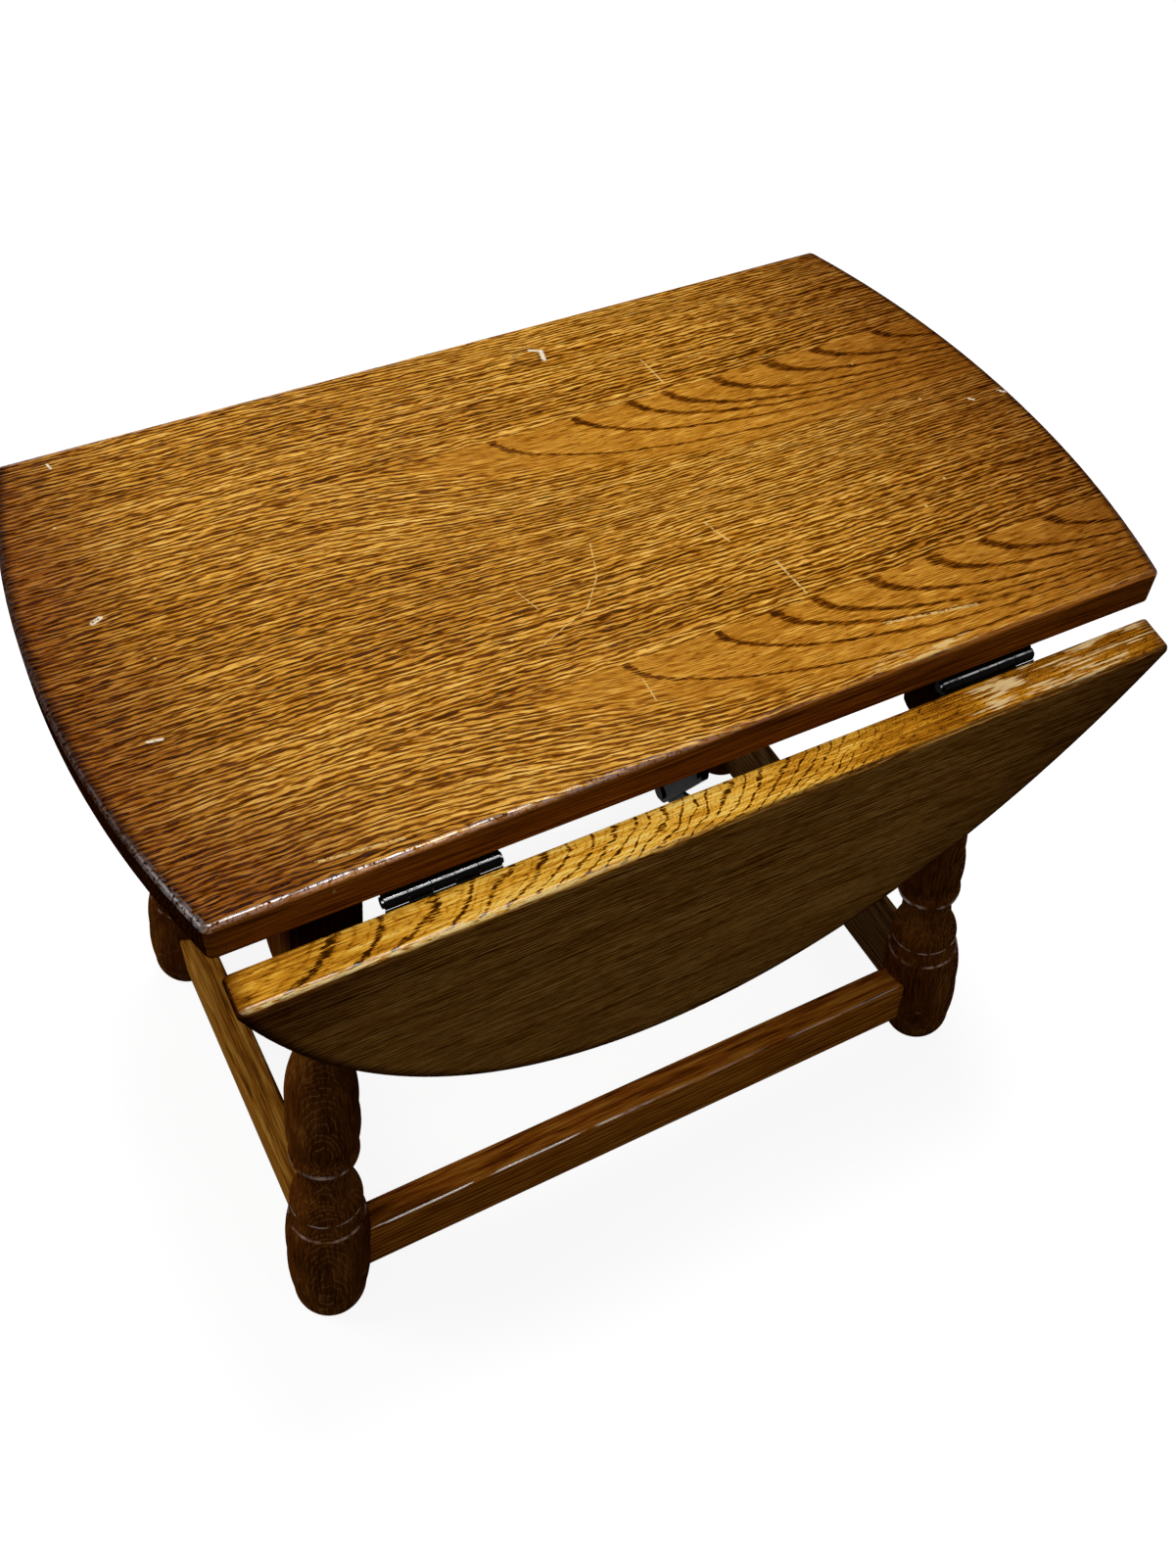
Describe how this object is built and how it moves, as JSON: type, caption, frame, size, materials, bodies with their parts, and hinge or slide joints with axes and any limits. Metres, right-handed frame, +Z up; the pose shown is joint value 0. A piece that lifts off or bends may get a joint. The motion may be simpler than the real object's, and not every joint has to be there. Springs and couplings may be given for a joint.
{
  "type": "drop-leaf coffee table",
  "caption": "Low oval drop-leaf table in oak: turned splayed legs, box stretchers and two hinged leaves that hang at the sides or lift level.",
  "frame": {"origin": "floor, midway between the four feet", "axes": "+X along the long straight edge of the top, +Y away from the front leaf, +Z up"},
  "size_m": [0.526, 0.357, 0.42],
  "materials": {
    "oak": "gloss lacquer",
    "dark_oak": "semi-gloss stain",
    "black_metal": "gloss black",
    "steel": "dull"
  },
  "bodies": {
    "frame": {"top_panel": "oak", "leg_front_left": "dark_oak", "leg_front_right": "dark_oak", "leg_back_left": "dark_oak", "leg_back_right": "dark_oak", "apron_front": "dark_oak", "apron_back": "dark_oak", "apron_left": "dark_oak", "apron_right": "dark_oak", "stretcher_front": "dark_oak", "stretcher_back": "dark_oak", "stretcher_left": "dark_oak", "stretcher_right": "dark_oak", "glue_block_front_left": "dark_oak", "glue_block_front_right": "dark_oak", "glue_block_back_left": "dark_oak", "glue_block_back_right": "dark_oak", "glue_block_screws": "steel", "hinge_screws_top": "steel", "stay_screws_apron": "steel", "hinge_top_plate_front_left": "black_metal", "hinge_top_plate_front_right": "black_metal", "hinge_top_plate_back_left": "black_metal", "hinge_top_plate_back_right": "black_metal", "hinge_pin_front_left": "black_metal", "hinge_pin_front_right": "black_metal", "hinge_pin_back_left": "black_metal", "hinge_pin_back_right": "black_metal", "stay_apron_bracket_front": "black_metal", "stay_apron_bracket_back": "black_metal", "stay_apron_pin_front": "steel", "stay_apron_pin_back": "steel"},
    "leaf_front": {"leaf_front": "oak", "hinge_leaf_plate_front_left": "black_metal", "hinge_leaf_plate_front_right": "black_metal", "hinge_screws_leaf_front": "steel", "stay_leaf_bracket_front": "black_metal", "stay_leaf_pin_front": "steel", "stay_screws_leaf_front": "steel"},
    "stay_lower_front": {"stay_lower_link_front": "black_metal", "stay_knuckle_rivet_front": "steel"},
    "stay_upper_front": {"stay_upper_link_front": "black_metal"},
    "leaf_back": {"leaf_back": "oak", "hinge_leaf_plate_back_left": "black_metal", "hinge_leaf_plate_back_right": "black_metal", "hinge_screws_leaf_back": "steel", "stay_leaf_bracket_back": "black_metal", "stay_leaf_pin_back": "steel", "stay_screws_leaf_back": "steel"},
    "stay_lower_back": {"stay_lower_link_back": "black_metal", "stay_knuckle_rivet_back": "steel"},
    "stay_upper_back": {"stay_upper_link_back": "black_metal"}
  },
  "joints": [
    {"name": "leaf_front_hinge", "type": "hinge", "parent": "frame", "child": "leaf_front", "pos_m": [0, -0.155, 0.3957], "axis": [-1, 0, 0], "range_deg": [0, 98.76]},
    {"name": "stay_lower_front_pivot", "type": "hinge", "parent": "frame", "child": "stay_lower_front", "pos_m": [0, -0.11747, 0.35], "axis": [-1, 0, 0], "range_deg": [0, 141.53]},
    {"name": "stay_upper_front_pivot", "type": "hinge", "parent": "leaf_front", "child": "stay_upper_front", "pos_m": [0, -0.13871, 0.32738], "axis": [1, 0, 0], "range_deg": [0, 105.88]},
    {"name": "leaf_back_hinge", "type": "hinge", "parent": "frame", "child": "leaf_back", "pos_m": [0, 0.155, 0.3957], "axis": [1, 0, 0], "range_deg": [0, 98.76]},
    {"name": "stay_lower_back_pivot", "type": "hinge", "parent": "frame", "child": "stay_lower_back", "pos_m": [0, 0.11747, 0.35], "axis": [1, 0, 0], "range_deg": [0, 141.53]},
    {"name": "stay_upper_back_pivot", "type": "hinge", "parent": "leaf_back", "child": "stay_upper_back", "pos_m": [0, 0.13871, 0.32738], "axis": [-1, 0, 0], "range_deg": [0, 105.88]}
  ],
  "couplings": [
    {"joint": "stay_lower_front_pivot", "follows": "leaf_front_hinge", "ratio": 1.4329},
    {"joint": "stay_upper_front_pivot", "follows": "leaf_front_hinge", "ratio": 1.072},
    {"joint": "stay_lower_back_pivot", "follows": "leaf_back_hinge", "ratio": 1.4329},
    {"joint": "stay_upper_back_pivot", "follows": "leaf_back_hinge", "ratio": 1.072}
  ]
}
